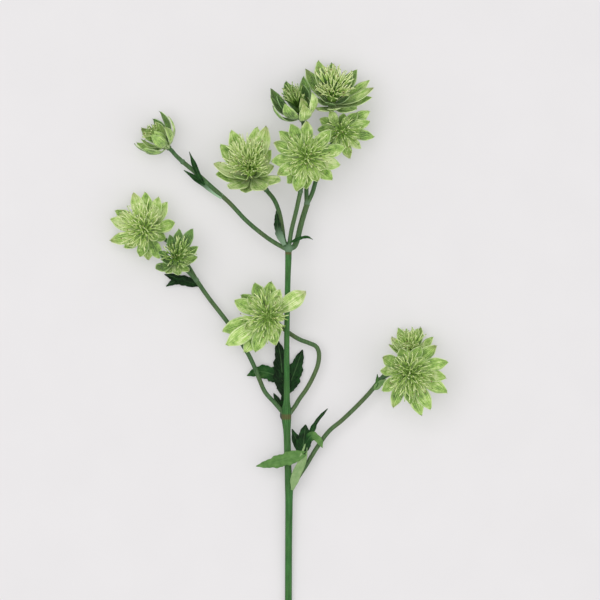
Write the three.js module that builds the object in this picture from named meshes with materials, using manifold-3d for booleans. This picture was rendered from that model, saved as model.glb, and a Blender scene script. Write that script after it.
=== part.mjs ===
// A cut spray of masterwort (Astrantia) lying on a flat surface, in millimetres.
// One jointed stem forks three times and carries eleven flower heads, each a cup of pointed green bracts
// round a dome of tiny stalked florets, with lobed, toothed leaves clasping the joints.
// While modelling, x runs across the spray, y along it from the foot to the heads, and z up off the surface.
import * as THREE from 'three';
import { mergeVertices } from 'three/addons/utils/BufferGeometryUtils.js';
import Module from 'manifold-3d';

const wasm = await Module();
wasm.setup();

// Driving dimensions.
const BLADE = 0.6; // thickness of a bract or a leaf
const CLEAR = 0.35; // gap between neighbouring pieces
const WELD = 1e-4; // points closer than this are one
const STEM_SIDES = 8;
const STEM_STEPS = 20;
const TWIG_SIDES = 5;
const TWIG_RADIUS = 1.1; // a branch of the stem
const STALK_RADIUS = 1; // the last stretch under a head
const STALK_RUN = 2.2; // how far the stalk runs straight before the head

// Flower head: proportions shared by all heads, as shares of a head's bract length unless noted.
const RECEPTACLE_DEPTH = 2.6; // mm, from the bracts' roots down to the stalk
const RECEPTACLE_RADIUS = 2.4; // mm
const RECEPTACLE_RISE = 1.8; // mm, from the bracts' roots up to its middle
const RECEPTACLE_RIM = [-0.8, 1.3]; // mm, how far below and above the roots its side ends
const RECEPTACLE_LEAN = 0.3; // mm, by how much it is narrower at the upper edge
const RECEPTACLE_SIDES = 7;
const ROOT_RADIUS = 1.3; // mm, where a bract leaves the receptacle
const ROOT_STEP = 0.45; // mm, the steeper outer bracts root this much above the middle and the rest below
const INNER_ROOT = 1.35; // mm, how far up the inner bracts root
const BOW = 0.07; // how far a bract sags out of a straight line
const OUTER_STAGGER = 3; // degrees, every other bract stands steeper and the rest flatter by this much
const INNER_LENGTH = 0.76;
const INNER_CLOSER = 12; // degrees, how much steeper the inner bracts stand
const CAMBER = 0.25; // rise of a bract's edges, as a share of its half width
const OUTLINE = { scale: 3.5, root: 0.02, swell: 1.2, taper: 0.75 }; // how a bract's width runs
const OUTER_TURNS = 7; // degrees, range by which the even outer bracts stand out of order
const OUTER_VARIES = 0.14; // range of their lengths, as a share
const INNER_TURNS = 9;
const INNER_VARIES = 0.2;
const LENGTH_SHARES = [0.4, 1.25]; // least and most length of an outer bract, as shares of the usual
const ODD_LENGTH = 0.05; // mm of miss that a bract's tip is worth for each mm of unusual length
const OUTER_WHORL = { halfWidth: 0.17, stations: [0, 0.36, 0.7, 1], columns: [-1, 0, 1] };
const INNER_WHORL = { halfWidth: 0.15, stations: [0, 0.52, 1], columns: [-1, 1] };
const DOME_BASE = 2.2; // mm above the roots
const DOME_RADIUS = 0.15;
const DOME_HEIGHT = 0.11;
const FLORET_REACH = 0.56;
const FLORET_CLOSER = 20; // degrees inside the outer bracts
const FLORET_NECK = 0.2; // mm, radius at the dome
const FLORET_HEAD = 0.9; // mm, radius at its widest
const FLORET_WIDEST = 0.82; // where it is widest, as a share of its length
const FLORET_VARIES = 0.2; // range of their reach, as a share
const FLORET_GIVES_WAY = 0.4; // how much of a neighbour's crowding a floret follows
const GOLDEN_TURN = 137.508; // degrees from one floret to the next

// Leaves.
const LEAF_CAMBER = 0.14; // rise of the edges, as a share of the half width
const TEETH = { start: 0.22, span: 0.74, point: 0.62, notch: 0.92 }; // along the lobe, then within a tooth
const NOTCH_WIDTH = 0.78; // half width at a notch, as a share of that at a point
const SPINDLE = { start: 0.12, fullest: 0.9, round: 0.8 }; // a full lobe's width along it

// Which numbers of the repeatable draw are for what.
const DRAWS = { outerTurn: 0, outerLength: 20, innerTurn: 40, innerLength: 60, floret: 80 };

// The main stem: points along its middle line with the radius there. Two joints swell it.
const STEM = [
  [0.1, -30, 1.5, 1.72],
  [0.2, 0, 1.6, 1.72],
  [0.3, 28, 2.8, 1.72],
  [0.5, 50, 4.1, 1.85],
  [0.5, 57, 4.6, 2.1],
  [0.1, 64, 5.1, 1.7],
  [-0.5, 84, 6.9, 1.9],
  [-0.8, 91, 7.5, 2.5],
  [-0.8, 95, 7.9, 2.5],
  [-0.6, 100, 8.4, 1.5],
  [-0.6, 130, 10.8, 1.36],
  [-0.1, 160, 12.8, 1.38],
  [0.2, 171, 13.5, 1.6],
  [0.2, 174.5, 13.7, 1.6],
];
const FOOT_CUT_DEG = 38; // slope of the florist's cut

// The branches: each is one solid of several runs that leave the same joint or fork from each other. The
// thick run of the top branch forks into the two runs after it.
const TOP_JOINT = [0.3, 175.6, 13.8];
const TOP_JOINT_RADIUS = 2.1;
const TOP_JOINT_SEGMENTS = [7, 5];
const FORK_RADIUS = 1.4;
const BRANCHES = {
  branch_right: [
    { radius: TWIG_RADIUS, path: [[0.5, 54.5, 4.5], [2.7, 57.2, 4.6], [4.8, 61, 4.8], [8.9, 67.2, 5.2],
      [14.4, 76.2, 5.8], [20.5, 84.5, 6.2], [26.8, 89.8, 6.4], [35.2, 97.8, 6.4], [41.1, 104.1, 6.2],
      [46, 110.2, 6.2]] },
  ],
  branch_left: [
    { radius: TWIG_RADIUS, path: [[-0.8, 92.5, 7.6], [-3.6, 95.2, 7.2], [-6.6, 98.6, 6.6], [-11.4, 104, 5.8],
      [-14.2, 110.2, 5.6], [-16.6, 116.2, 5.4], [-20.1, 123.4, 5.2], [-29.9, 138.4, 4.8],
      [-39.7, 151.2, 4.8], [-45.8, 160, 4.8]] },
  ],
  branch_middle: [
    { radius: TWIG_RADIUS, path: [[-0.2, 92.5, 7.4], [3, 96.2, 6.8], [5.6, 100.4, 6.4], [9.4, 105.8, 5.5],
      [13, 112.6, 5], [15.1, 118.4, 4.8], [15.4, 123.8, 4.8], [14, 126.8, 4.8], [10.8, 128.4, 4.8],
      [6, 130.2, 4.8], [1, 133.2, 4.6], [-4.5, 137.6, 4.4]] },
  ],
  branch_top: [
    { radius: TWIG_RADIUS, path: [[0.3, 175.6, 13.8], [-2.5, 176.4, 13.4], [-8.2, 179.6, 12.4],
      [-15.2, 184.8, 11.4], [-21.2, 190, 10.6], [-29.4, 198.7, 9.8], [-37.6, 206, 9], [-46.6, 214.1, 8.2],
      [-52.6, 219, 7.2]] },
    { radius: TWIG_RADIUS, path: [[0.3, 175.6, 13.8], [-1.9, 179.5, 13.2], [-2.8, 185.5, 12],
      [-4.3, 193.4, 10.2], [-6.8, 199.8, 8.6], [-10.9, 205, 7]] },
    { radius: TWIG_RADIUS, path: [[0.3, 175.6, 13.8], [0.9, 179.5, 14], [1.8, 185, 14.2], [4, 194, 14],
      [6.2, 204, 13.6]] },
    { radius: FORK_RADIUS, path: [[0.3, 175.6, 13.8], [2.9, 176.6, 12.6], [4.6, 180.3, 11.6],
      [6, 186, 10.6], [7.5, 191.6, 9.8], [9.4, 197.6, 9]] },
    { radius: TWIG_RADIUS, path: [[9.4, 197.6, 9], [9.2, 203.4, 8.8], [9.2, 216, 8], [8.2, 228, 9.4]] },
    { radius: TWIG_RADIUS, path: [[9.4, 197.6, 9], [12.1, 203.4, 8], [14, 210, 6.8], [16.2, 217.5, 6]] },
  ],
};

// The flower heads. base is the middle of the bracts' roots and axis the way the cup faces. length is the
// usual length of an outer bract and spread its angle from the axis, in degrees. tips are the places that the
// outer bracts' tips lie over, as [x, y] or [x, y, spread], in order round the head. Heads seen from the side
// have even, the number of bracts spaced evenly instead, and turned lists single ones as [azimuth, share of
// length]. stalk leads from the branch to the head. crowded lists sectors, as [from, to, share of full
// length], where a neighbour keeps the even and the inner bracts short. bow and reach replace BOW and
// FLORET_REACH, and a level stalk comes in from the side, under the head.
const HEADS = [
  { name: 'head_far_left', on: 'branch_top', base: [-61, 227.3, 7.3], axis: [-0.68, 0.63, 0.36], length: 15.5,
    spread: 40, bow: 0.2, tips: [], even: 9, inner: 3, florets: 8, reach: 0.44, roll: 4, seed: 1,
    stalk: [[-52.6, 219, 7.2], [-56.2, 222.4, 6.6]] },
  { name: 'head_left_large', on: 'branch_left', base: [-70.4, 184.2, 5], axis: [-0.22, 0.2, 0.95], length: 19,
    spread: 63, inner: 4, florets: 13, roll: 9, seed: 2, crowded: [[-75, 10, 0.7]], level: true,
    tips: [[-89, 179.4], [-89, 190], [-86, 195.2], [-77.5, 203.5], [-71.5, 204], [-64, 201.5], [-60, 199],
      [-56, 188.8, 66], [-61, 180.6, 80], [-64.2, 170.6, 82], [-69.5, 169.8, 76], [-74, 171.5, 70],
      [-81.6, 175.6, 66]],
    stalk: [[-45.8, 160, 4.8], [-49.5, 166.5, 3.2], [-55, 174.5, 2], [-62, 180.6, 1.4], [-70, 184, 1.2]] },
  { name: 'head_left_small', on: 'branch_left', base: [-56, 169.4, 12], axis: [0.1, 0.42, 0.9], length: 14,
    spread: 56, inner: 3, florets: 9, roll: 22, seed: 3, crowded: [[100, 175, 0.8]],
    tips: [[-45, 177], [-47.5, 185.5], [-54.5, 185.5], [-59, 182.5], [-64.5, 174], [-66.2, 165.6],
      [-60.5, 163.4], [-55, 162.4], [-49.6, 164.4], [-45, 171]],
    stalk: [[-45.8, 160, 4.8], [-50.5, 164.6, 5.6]] },
  { name: 'head_top_left', on: 'branch_top', base: [-18.6, 212.2, 9.6], axis: [-0.06, 0.5, 0.866], length: 23,
    spread: 48, inner: 4, florets: 14, roll: 14, seed: 4, crowded: [[-40, 35, 0.7]],
    tips: [[-8.5, 225, 52], [-10.5, 237], [-15.5, 236.5], [-28.5, 234.5], [-33.5, 228], [-37.5, 217],
      [-36, 212.5], [-28.5, 205.5], [-21, 203.5], [-11.6, 205.4], [-4.2, 209.2], [-7, 216.5, 54]],
    stalk: [[-10.9, 205, 7], [-14.6, 207.8, 5.8]] },
  { name: 'head_top_centre', on: 'branch_top', base: [9, 220.8, 20.5], axis: [0.02, 0.1, 1], length: 18.8,
    spread: 64, inner: 4, florets: 13, roll: 12, seed: 5, crowded: [[55, 85, 0.8]],
    tips: [[28.5, 226], [21.5, 234.5], [9.3, 239.4], [1.5, 238], [-4.5, 234], [-7.5, 228], [-8.3, 219.4],
      [-5.4, 212.8], [0, 207.6], [4, 204], [9, 205], [15, 208.8], [22.4, 209.8], [26.2, 217]],
    stalk: [[6.2, 204, 13.6], [7.6, 212.2, 13], [8.8, 217.8, 13]] },
  { name: 'head_back_left', on: 'branch_top', base: [6.6, 241.6, 15.5], axis: [-0.24, 0.82, 0.5],
    length: 19.2, spread: 39, bow: 0.2, tips: [], even: 10, inner: 3, florets: 10, reach: 0.48, roll: 0,
    seed: 6, crowded: [[-30, 50, 0.5]], stalk: [[8.2, 228, 9.4], [8, 232.6, 10.6]] },
  { name: 'head_back_right', on: 'branch_top', base: [22, 247.8, 10], axis: [0.03, 0.74, 0.67], length: 21.5,
    spread: 58, inner: 5, florets: 14, roll: 8, seed: 7, crowded: [[150, 250, 0.5], [250, 360, 0.8]],
    tips: [[41.8, 250.6], [43, 255.5], [41, 259.5], [34.5, 265], [22, 268.5], [14.5, 269.5], [8.5, 265]],
    turned: [[205, 0.46], [240, 0.7], [275, 0.8], [310, 0.9]],
    stalk: [[16.2, 217.5, 6], [18.5, 226, 4.8], [20.8, 238, 4.8]] },
  { name: 'head_right_top', on: 'branch_top', base: [26.2, 234.8, 11], axis: [0.2, -0.12, 0.97], length: 15.5,
    spread: 68, inner: 3, florets: 9, roll: 12, seed: 8, crowded: [[50, 135, 0.7], [195, 245, 0.75]],
    tips: [[43, 231], [41, 239], [40.5, 244.5], [34.5, 243.5], [28, 243], [21, 244], [16, 240.8],
      [14.8, 234.8], [19, 229], [23.6, 223], [31, 220.5]],
    stalk: [[16.2, 217.5, 6], [20, 224, 5.6], [23.6, 231.6, 4.8]] },
  { name: 'head_middle', on: 'branch_middle', base: [-9.9, 141.9, 9.5], axis: [0, 0, 1], length: 23,
    spread: 73, inner: 5, florets: 14, roll: 30, seed: 9, reach: 0.34,
    crowded: [[-60, 62, 0.45], [62, 360, 0.85]],
    tips: [[9, 153.5, 47], [-4.2, 152, 64], [-9, 159.5], [-17, 158.5], [-23.5, 152.5], [-27, 149.5],
      [-33, 134.5], [-30.5, 127], [-21.5, 123.5], [-16.5, 124], [-9.4, 130.4], [-4.5, 131.5]],
    stalk: [[-4.5, 137.6, 4.4], [-8, 140.4, 4.2]] },
  { name: 'head_right_large', on: 'branch_right', base: [59.6, 114.6, 16], axis: [0.14, -0.2, 0.97],
    length: 18, spread: 63, inner: 5, florets: 14, roll: 20, seed: 10,
    tips: [[79, 111], [79.5, 119.5], [74, 127.5], [66, 127], [56.5, 126], [46.8, 121.6], [46, 114.6],
      [47, 104.5], [52, 96.4], [61, 98], [66.5, 91], [71.5, 95.5], [79.6, 103.8]],
    stalk: [[46, 110.2, 6.2], [50, 112.6, 7.4], [55.4, 114.4, 9]] },
  { name: 'head_right_small', on: 'branch_right', base: [61.6, 121.6, 5.7], axis: [-0.05, 0.8, 0.6],
    length: 15.5, spread: 50, inner: 3, florets: 10, roll: 10, seed: 11, crowded: [[190, 350, 0.5]],
    tips: [[72, 132], [66.5, 136.5], [60.5, 138], [55, 136], [51.5, 131.5]],
    turned: [[188, 0.85], [225, 0.5], [270, 0.5], [315, 0.5]],
    stalk: [[46, 110.2, 6.2], [50, 114, 4.8], [56, 116.4, 3]] },
];

// The leaves. Each lobe is a blade along its path. width is the half width at its fullest, teeth the number
// of teeth down each edge, and shape runs from 0, an even strip, to 1, a full spindle.
const LEAVES = [
  { name: 'leaf_low', lobes: [
    { path: [[2, 55, 8], [4, 62.4, 8.6], [7, 69.2, 9], [9.4, 80, 9.2]], width: 2.3, teeth: 0, shape: 0.9 },
    { path: [[9.5, 73.6, 9.2], [3, 71.8, 9.4], [-2.2, 70.2, 9.4], [-9, 68.4, 9.2], [-16, 67, 8.6]],
      width: 3.8, teeth: 3, shape: 0.75 },
    { path: [[7, 73, 9.2], [4.8, 78.6, 8.6], [2, 85.6, 9.8]], width: 2.6, teeth: 1, shape: 0.7 },
    { path: [[7.4, 73, 9.2], [8, 81, 9], [8.8, 87.8, 9.4]], width: 4.3, teeth: 2, shape: 0.6 },
    { path: [[9.2, 77, 9.2], [12, 84.8, 10], [14.6, 89.8, 11.4], [19.8, 95.8, 12.6]],
      width: 1.4, teeth: 2, shape: 0.7 },
    { path: [[8.6, 78, 9.2], [11.8, 82, 10], [15, 80.6, 10], [17.2, 76.2, 9.6]],
      width: 2.6, teeth: 2, shape: 0.6 },
  ] },
  { name: 'leaf_middle', lobes: [
    { path: [[-1.2, 88.6, 3.4], [-1.8, 96, 3.6], [-2, 106, 3]], width: 2.6, teeth: 0, shape: 0.1 },
    { path: [[-1.6, 109, 3], [-8, 112.9, 2.4], [-14.4, 114.3, 2.2], [-20.5, 112.2, 2.4]],
      width: 4.2, teeth: 3, shape: 0.75 },
    { path: [[-1.6, 101, 3.1], [-2.8, 112, 2.6], [-3.8, 122, 2.3], [-5.4, 130.2, 2.8]],
      width: 4.9, teeth: 3, shape: 0.7 },
    { path: [[-1.6, 102, 3.2], [1, 108.2, 2.6], [3.5, 114.6, 2], [7.3, 125.2, 1.4]],
      width: 4.4, teeth: 3, shape: 0.95 },
    { path: [[-1.6, 95, 3.4], [-4.6, 98.8, 3], [-7.2, 103.4, 2.4]], width: 1.9, teeth: 1, shape: 0.6 },
  ] },
  { name: 'leaf_left', lobes: [
    { path: [[-44.6, 157.4, 2.4], [-50, 159.2, 2.2], [-55, 160.8, 2], [-61.8, 162.8, 2.2]],
      width: 2.9, teeth: 2, shape: 0.5 },
    { path: [[-45.6, 157.6, 2.4], [-51, 159.2, 2.2], [-56, 159.4, 2], [-61, 156.8, 1.6]],
      width: 2.6, teeth: 2, shape: 0.5 },
  ] },
  { name: 'leaf_sheath', lobes: [
    { path: [[-33, 201.4, 10.4], [-37.6, 204.9, 9.2], [-45.2, 210.2, 8.4], [-52, 214.8, 8.6]],
      width: 2.1, teeth: 1, shape: 0.3 },
    { path: [[-41.6, 207.4, 9], [-44, 211, 11], [-46.6, 217, 11.4], [-49.3, 224, 11.6]],
      width: 1.5, teeth: 1, shape: 0.6 },
  ] },
  { name: 'leaf_top_left', lobes: [
    { path: [[-1.8, 177.4, 16.9], [-4.7, 184, 16], [-5.9, 194.6, 15.8]], width: 2, teeth: 3, shape: 0.8 },
  ] },
  { name: 'leaf_top_right', lobes: [
    { path: [[1.2, 178.6, 16.9], [5.4, 180.6, 16.9], [9.6, 181.4, 16.6], [12.4, 180.2, 16]],
      width: 0.9, teeth: 2, shape: 0.6 },
  ] },
  { name: 'leaf_right', lobes: [
    { path: [[43, 105.2, 8.6], [46, 108.2, 8.8], [48.8, 110.4, 9.6]], width: 1.8, teeth: 1, shape: 0.6 },
    { path: [[43.6, 106, 8.6], [44.6, 109.4, 8.8], [44.6, 113, 8.8]], width: 0.9, teeth: 0, shape: 0.7 },
  ] },
];

const COLOURS = {
  stem: { color: 0x3d7a3f, roughness: 0.55, metalness: 0 },
  leaf: { color: 0x1f5a2c, roughness: 0.6, metalness: 0 },
  bract: { color: 0x86b054, roughness: 0.7, metalness: 0 },
  floret: { color: 0xcdd7a6, roughness: 0.75, metalness: 0 },
};

const radians = THREE.MathUtils.degToRad;
const vector = (p) => new THREE.Vector3(p[0], p[1], p[2]);

// A repeatable draw from a range whose middle is 0.
function vary(seed, count, range) {
  const wave = Math.sin(seed * 127.1 + count * 311.7) * 43758.5453;
  return range * (wave - Math.floor(wave) - 0.5);
}

function solidOf(geometry) {
  const bare = geometry.clone();
  bare.deleteAttribute('normal');
  bare.deleteAttribute('uv');
  const merged = mergeVertices(bare, WELD);
  return new wasm.Manifold(new wasm.Mesh({
    numProp: 3,
    vertProperties: new Float32Array(merged.attributes.position.array),
    triVerts: new Uint32Array(merged.index.array),
  }));
}

function geometryOf(solid) {
  const mesh = solid.getMesh();
  const geometry = new THREE.BufferGeometry();
  geometry.setAttribute('position', new THREE.BufferAttribute(new Float32Array(mesh.vertProperties), 3));
  geometry.setIndex(new THREE.BufferAttribute(new Uint32Array(mesh.triVerts), 1));
  geometry.computeVertexNormals();
  return geometry;
}

function joined(solids) {
  return solids.reduce((whole, solid) => whole.add(solid));
}

function geometryFrom(points, triangles) {
  const geometry = new THREE.BufferGeometry().setFromPoints(points);
  geometry.setIndex(triangles);
  return geometry;
}

// A closed tube along a smooth curve, with a radius at each of the points that it passes.
function tube(points, radii, sides, steps, grow = 0) {
  const curve = new THREE.CatmullRomCurve3(points.map(vector), false, 'centripetal');
  const frames = curve.computeFrenetFrames(steps, false);
  const rings = [];
  const triangles = [];
  for (let i = 0; i <= steps; i++) {
    const place = curve.getUtoTmapping(i / steps) * (points.length - 1);
    const before = Math.min(Math.floor(place), points.length - 2);
    const radius = THREE.MathUtils.lerp(radii[before], radii[before + 1], place - before) + grow;
    const centre = curve.getPointAt(i / steps);
    for (let j = 0; j < sides; j++) {
      const angle = ((j + 0.5) / sides) * 2 * Math.PI;
      rings.push(centre.clone()
        .addScaledVector(frames.normals[i], Math.cos(angle) * radius)
        .addScaledVector(frames.binormals[i], Math.sin(angle) * radius));
    }
  }
  const at = (i, j) => i * sides + (j % sides);
  for (let i = 0; i < steps; i++) {
    for (let j = 0; j < sides; j++) {
      triangles.push(at(i, j), at(i, j + 1), at(i + 1, j + 1), at(i, j), at(i + 1, j + 1), at(i + 1, j));
    }
  }
  for (let j = 1; j < sides - 1; j++) {
    triangles.push(at(0, 0), at(0, j + 1), at(0, j), at(steps, 0), at(steps, j), at(steps, j + 1));
  }
  return solidOf(geometryFrom(rings, triangles));
}

// A closed blade from rows of points across it, root first. The last row is the tip's single point.
// Each face is split the same way, and the lower one lies a blade's thickness under the upper one.
function blade(rows) {
  const wide = rows[0].length;
  const upper = [...rows.slice(0, -1).flat(), rows.at(-1)[0]];
  const tip = upper.length - 1;
  const normalAt = (i, j) => {
    const here = Math.min(i, rows.length - 2);
    const next = rows[here + 1][Math.min(j, rows[here + 1].length - 1)];
    const along = next.clone().sub(rows[here][j]);
    const across = rows[here][wide - 1].clone().sub(rows[here][0]);
    return across.cross(along).normalize();
  };
  const middle = Math.floor(wide / 2);
  const lower = upper.map((point, n) => {
    const normal = n === tip ? normalAt(rows.length - 1, middle) : normalAt(Math.floor(n / wide), n % wide);
    return point.clone().addScaledVector(normal, -BLADE);
  });
  const triangles = [];
  const down = upper.length;
  const face = (a, b, c) => triangles.push(a, b, c, down + a, down + c, down + b);
  const wall = (a, b) => triangles.push(a, down + b, b, a, down + a, down + b);
  for (let i = 0; i < rows.length - 2; i++) {
    for (let j = 0; j < wide - 1; j++) {
      const a = i * wide + j;
      face(a, a + 1, a + wide + 1);
      face(a, a + wide + 1, a + wide);
    }
    wall((i + 1) * wide, i * wide);
    wall(i * wide + wide - 1, (i + 1) * wide + wide - 1);
  }
  const last = (rows.length - 2) * wide;
  for (let j = 0; j < wide - 1; j++) {
    face(last + j, last + j + 1, tip);
    wall(j, j + 1);
  }
  wall(tip, last);
  wall(last + wide - 1, tip);
  return solidOf(geometryFrom([...upper, ...lower], triangles));
}

// The directions of a head: its axis, and the two directions that azimuths are counted from.
function frameOf(head) {
  const axis = vector(head.axis).normalize();
  const zero = new THREE.Vector3(1, 0, 0).addScaledVector(axis, -axis.x).normalize();
  return { axis, zero, quarter: axis.clone().cross(zero) };
}

// The turn that lays a shape made round the y axis along a direction.
function turnedTo(direction) {
  return new THREE.Quaternion().setFromUnitVectors(new THREE.Vector3(0, 1, 0), direction);
}

function outward(frame, azimuth) {
  return frame.zero.clone().multiplyScalar(Math.cos(azimuth))
    .addScaledVector(frame.quarter, Math.sin(azimuth));
}

// The share of its full length that a bract keeps at an azimuth, from a list of sectors.
function share(sectors, azimuth) {
  const past = (from) => THREE.MathUtils.euclideanModulo(azimuth - from, 360);
  const found = (sectors ?? []).find(([from, to]) => past(from) <= to - from);
  return found ? found[2] : 1;
}

// The half width of a bract along its length, as a share of the most: narrow at the root, pointed at the tip.
function bractOutline(t) {
  return OUTLINE.scale * (t + OUTLINE.root) ** OUTLINE.swell * (1 - t) ** OUTLINE.taper;
}

function bract(head, azimuth, length, spread, whorl, root) {
  const frame = frameOf(head);
  const radial = outward(frame, radians(azimuth));
  const side = frame.axis.clone().cross(radial);
  const sin = Math.sin(radians(spread));
  const cos = Math.cos(radians(spread));
  const inner = frame.axis.clone().multiplyScalar(sin).addScaledVector(radial, -cos);
  const rows = whorl.stations.map((t) => {
    const sag = (head.bow ?? BOW) * 4 * t * (1 - t);
    const middle = vector(head.base)
      .addScaledVector(radial, ROOT_RADIUS + length * (t * sin + sag * cos))
      .addScaledVector(frame.axis, root + length * (t * cos - sag * sin));
    const half = ((length + head.length) / 2) * whorl.halfWidth * bractOutline(t);
    const places = t === 1 ? [0] : whorl.columns;
    return places.map((s) => middle.clone()
      .addScaledVector(side, -s * half)
      .addScaledVector(inner, s * s * half * CAMBER));
  });
  return blade(rows);
}

// The azimuth, to the nearest degree, and the length that put a bract's tip over the point x, y. Where two
// azimuths would do, the one with the more usual length is taken.
function aimed(head, x, y, spread, root) {
  const frame = frameOf(head);
  const sin = Math.sin(radians(spread));
  const cos = Math.cos(radians(spread));
  const found = { miss: Infinity };
  for (let azimuth = 0; azimuth < 360; azimuth++) {
    const radial = outward(frame, radians(azimuth));
    const start = vector(head.base).addScaledVector(radial, ROOT_RADIUS).addScaledVector(frame.axis, root);
    const run = radial.multiplyScalar(sin).addScaledVector(frame.axis, cos);
    const reach = Math.hypot(run.x, run.y);
    const length = ((x - start.x) * run.x + (y - start.y) * run.y) / reach ** 2;
    const aside = Math.abs((x - start.x) * run.y - (y - start.y) * run.x) / reach;
    const miss = aside + ODD_LENGTH * Math.abs(length - head.length);
    if (length > 0 && miss < found.miss) Object.assign(found, { miss, azimuth, length });
  }
  const [least, most] = LENGTH_SHARES.map((kept) => kept * head.length);
  return { azimuth: found.azimuth, length: THREE.MathUtils.clamp(found.length, least, most) };
}

// The outer whorl as a list of bracts, every other one steeper and rooted higher.
function outerBracts(head) {
  const placeOf = (i, middle) => {
    const up = i % 2 ? 1 : -1;
    return { spread: middle - up * OUTER_STAGGER, root: up * ROOT_STEP };
  };
  const aimedOnes = head.tips.map(([x, y, own], i) => {
    const place = placeOf(i, own ?? head.spread);
    return { ...place, ...aimed(head, x, y, place.spread, place.root) };
  });
  const turned = [...(head.turned ?? [])];
  for (let i = 0; i < (head.even ?? 0); i++) {
    const azimuth = head.roll + (i * 360) / head.even + vary(head.seed, DRAWS.outerTurn + i, OUTER_TURNS);
    const kept = 1 + vary(head.seed, DRAWS.outerLength + i, OUTER_VARIES);
    turned.push([azimuth, kept * share(head.crowded, azimuth)]);
  }
  const turnedOnes = turned.map(([azimuth, kept], i) => {
    const place = placeOf(i + aimedOnes.length, head.spread);
    return { ...place, azimuth, length: head.length * kept };
  });
  return [...aimedOnes, ...turnedOnes];
}

// The two whorls of bracts and the receptacle that they grow from.
function bractsOf(head) {
  const frame = frameOf(head);
  const [below, above] = RECEPTACLE_RIM;
  const profile = [[0, -RECEPTACLE_DEPTH], [1, -RECEPTACLE_DEPTH], [RECEPTACLE_RADIUS, below],
    [RECEPTACLE_RADIUS - RECEPTACLE_LEAN, above], [0, RECEPTACLE_RISE]];
  const cup = new THREE.LatheGeometry(profile.map(([r, h]) => new THREE.Vector2(r, h)), RECEPTACLE_SIDES);
  cup.applyQuaternion(turnedTo(frame.axis));
  cup.translate(...head.base);
  const solids = [solidOf(cup)];
  for (const { azimuth, length, spread, root } of outerBracts(head)) {
    solids.push(bract(head, azimuth, length, spread, OUTER_WHORL, root));
  }
  for (let i = 0; i < head.inner; i++) {
    const azimuth = head.roll + ((i + 0.5) * 360) / head.inner
      + vary(head.seed, DRAWS.innerTurn + i, INNER_TURNS);
    const kept = INNER_LENGTH * (1 + vary(head.seed, DRAWS.innerLength + i, INNER_VARIES));
    const length = head.length * kept * share(head.crowded, azimuth);
    solids.push(bract(head, azimuth, length, head.spread - INNER_CLOSER, INNER_WHORL, INNER_ROOT));
  }
  return joined(solids);
}

// The dome of florets: clubs on a sunflower spiral, sunk in a small core.
function floretsOf(head) {
  const frame = frameOf(head);
  const height = DOME_HEIGHT * head.length;
  const centre = vector(head.base).addScaledVector(frame.axis, DOME_BASE + height);
  const core = new THREE.SphereGeometry(1, 7, 4);
  core.scale(DOME_RADIUS * head.length, height, DOME_RADIUS * head.length);
  core.applyQuaternion(turnedTo(frame.axis));
  core.translate(centre.x, centre.y, centre.z);
  const clubs = [];
  const widest = head.spread - FLORET_CLOSER;
  for (let i = 0; i < head.florets; i++) {
    const polar = radians(widest * Math.sqrt((i + 0.5) / head.florets));
    const azimuth = i * GOLDEN_TURN;
    const along = outward(frame, radians(azimuth)).multiplyScalar(Math.sin(polar))
      .addScaledVector(frame.axis, Math.cos(polar));
    const reach = (head.reach ?? FLORET_REACH) * (1 + vary(head.seed, DRAWS.floret + i, FLORET_VARIES));
    const kept = 1 - FLORET_GIVES_WAY * (1 - share(head.crowded, azimuth));
    clubs.push(club(centre, along, head.length * reach * kept));
  }
  return joined([solidOf(core), ...clubs]);
}

// A three-sided club that widens from the dome to its head and ends in a point.
function club(from, along, length) {
  const profile = [[0, 0], [FLORET_NECK, 0], [FLORET_HEAD, length * FLORET_WIDEST], [0, length]];
  const shape = new THREE.LatheGeometry(profile.map(([r, h]) => new THREE.Vector2(r, h)), 3);
  shape.applyQuaternion(turnedTo(along));
  return solidOf(shape.translate(from.x, from.y, from.z));
}

// A toothed blade along a path, facing up off the surface. Each tooth slants out to its point and steps back.
function lobe({ path, width, teeth, shape }) {
  const curve = new THREE.CatmullRomCurve3(path.map(vector), false, 'centripetal');
  const stations = teeth ? [0] : [0, 0.5];
  for (let i = 0; i < teeth; i++) {
    for (const part of [TEETH.point, TEETH.notch]) {
      stations.push(TEETH.start + (TEETH.span * (i + part)) / teeth);
    }
  }
  const up = new THREE.Vector3(0, 0, 1);
  const rows = stations.map((t, i) => {
    const middle = curve.getPointAt(t);
    const side = curve.getTangentAt(t).cross(up).normalize();
    const fullness = (SPINDLE.start + (1 - SPINDLE.start) * t) ** SPINDLE.fullest;
    const spindle = Math.sin(Math.PI * fullness) ** SPINDLE.round;
    const atNotch = i > 0 && i % 2 === 0;
    const half = width * (atNotch ? NOTCH_WIDTH : 1) * ((1 - shape) * Math.sqrt(1 - t) + shape * spindle);
    return [1, 0, -1].map((s) => middle.clone()
      .addScaledVector(side, s * half)
      .addScaledVector(up, Math.abs(s) * half * LEAF_CAMBER));
  });
  return blade([...rows, [curve.getPointAt(1)]]);
}

// A box by its size and its middle, tilted about the x axis.
function block([width, depth, height], [x, y, z], tiltDegrees = 0) {
  const box = new THREE.BoxGeometry(width, depth, height);
  box.rotateX(radians(tiltDegrees));
  box.translate(x, y, z);
  return solidOf(box);
}

// Everything under the surface that the spray lies on, and what the florist's cut takes off the foot.
const UNDERGROUND = block([400, 500, 40], [0, 110, -20]);
const FOOT_WEDGE = block([20, 20, 60], [0, STEM[0][1] - 8.5, 0], FOOT_CUT_DEG);

function stemSolid(grow = 0) {
  return tube(STEM.map((p) => p.slice(0, 3)), STEM.map((p) => p[3]), STEM_SIDES, STEM_STEPS, grow);
}

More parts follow.
